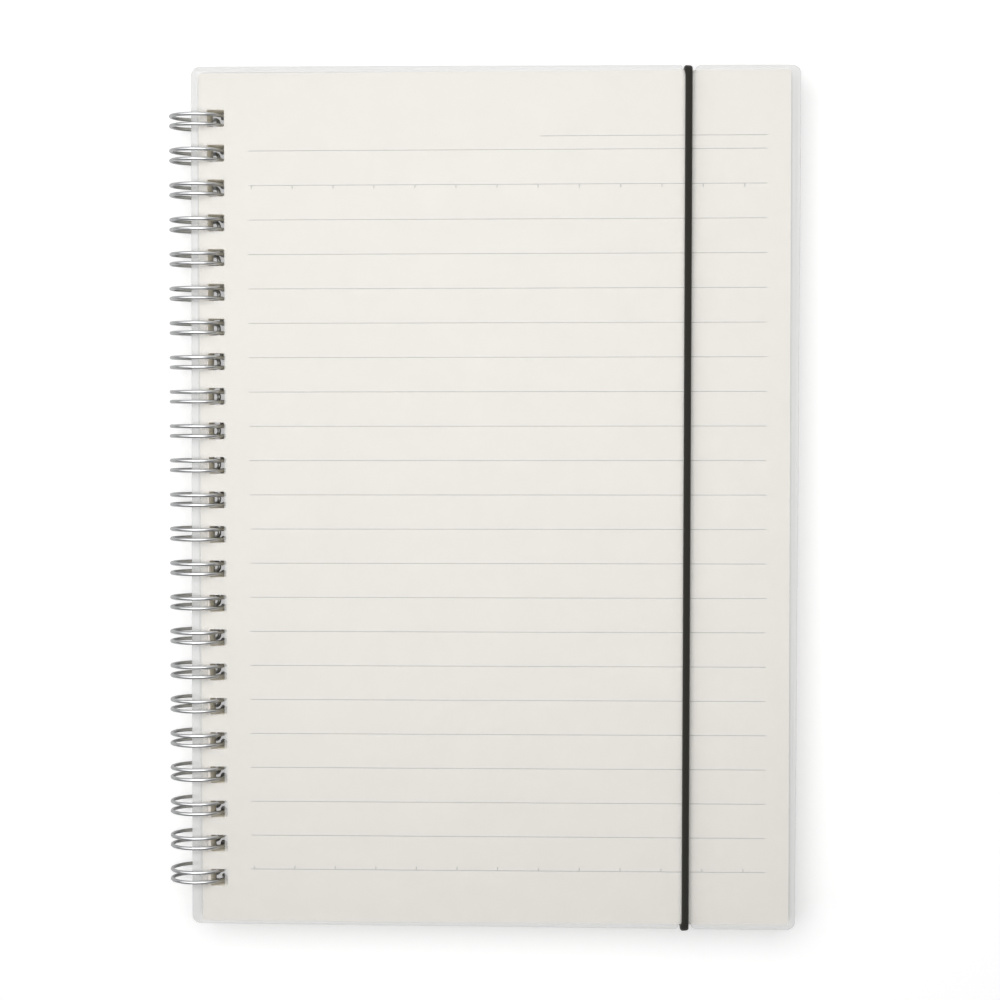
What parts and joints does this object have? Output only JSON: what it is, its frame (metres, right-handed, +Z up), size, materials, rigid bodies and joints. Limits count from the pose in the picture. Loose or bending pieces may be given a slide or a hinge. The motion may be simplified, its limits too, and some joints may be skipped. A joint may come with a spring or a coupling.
{
  "type": "wire-bound notebook",
  "caption": "Closed wire-bound A5 notebook with frosted plastic covers, ruled pages, a twin-loop wire spine and an elastic band; both covers open on the wire.",
  "frame": {"origin": "centre of the bounding box's base, on the surface that the closed notebook lies on", "axes": "+X from the wire spine to the fore edge, +Y from the foot to the head along the spine, +Z up out of the front cover"},
  "size_m": [0.1544, 0.2108, 0.0143],
  "materials": {
    "frosted_cover": "frosted translucent sheet",
    "pages": "uncoated cream paper with pale grey ruling",
    "wire": "bright silver wire",
    "band": "black braided elastic"
  },
  "bodies": {
    "book": {"page_block": "pages", "wire_binding": "wire", "elastic_band": "band"},
    "front_cover": {"front_cover": "frosted_cover"},
    "back_cover": {"back_cover": "frosted_cover"}
  },
  "joints": [
    {"name": "front_cover_turn", "type": "hinge", "parent": "book", "child": "front_cover", "pos_m": [-0.07005, 0, 0.00715], "axis": [0, -1, 0], "range_deg": [0, 180], "deforming": ["elastic_band"]},
    {"name": "back_cover_turn", "type": "hinge", "parent": "book", "child": "back_cover", "pos_m": [-0.07005, 0, 0.00715], "axis": [0, 1, 0], "range_deg": [0, 180], "deforming": ["elastic_band"]}
  ]
}
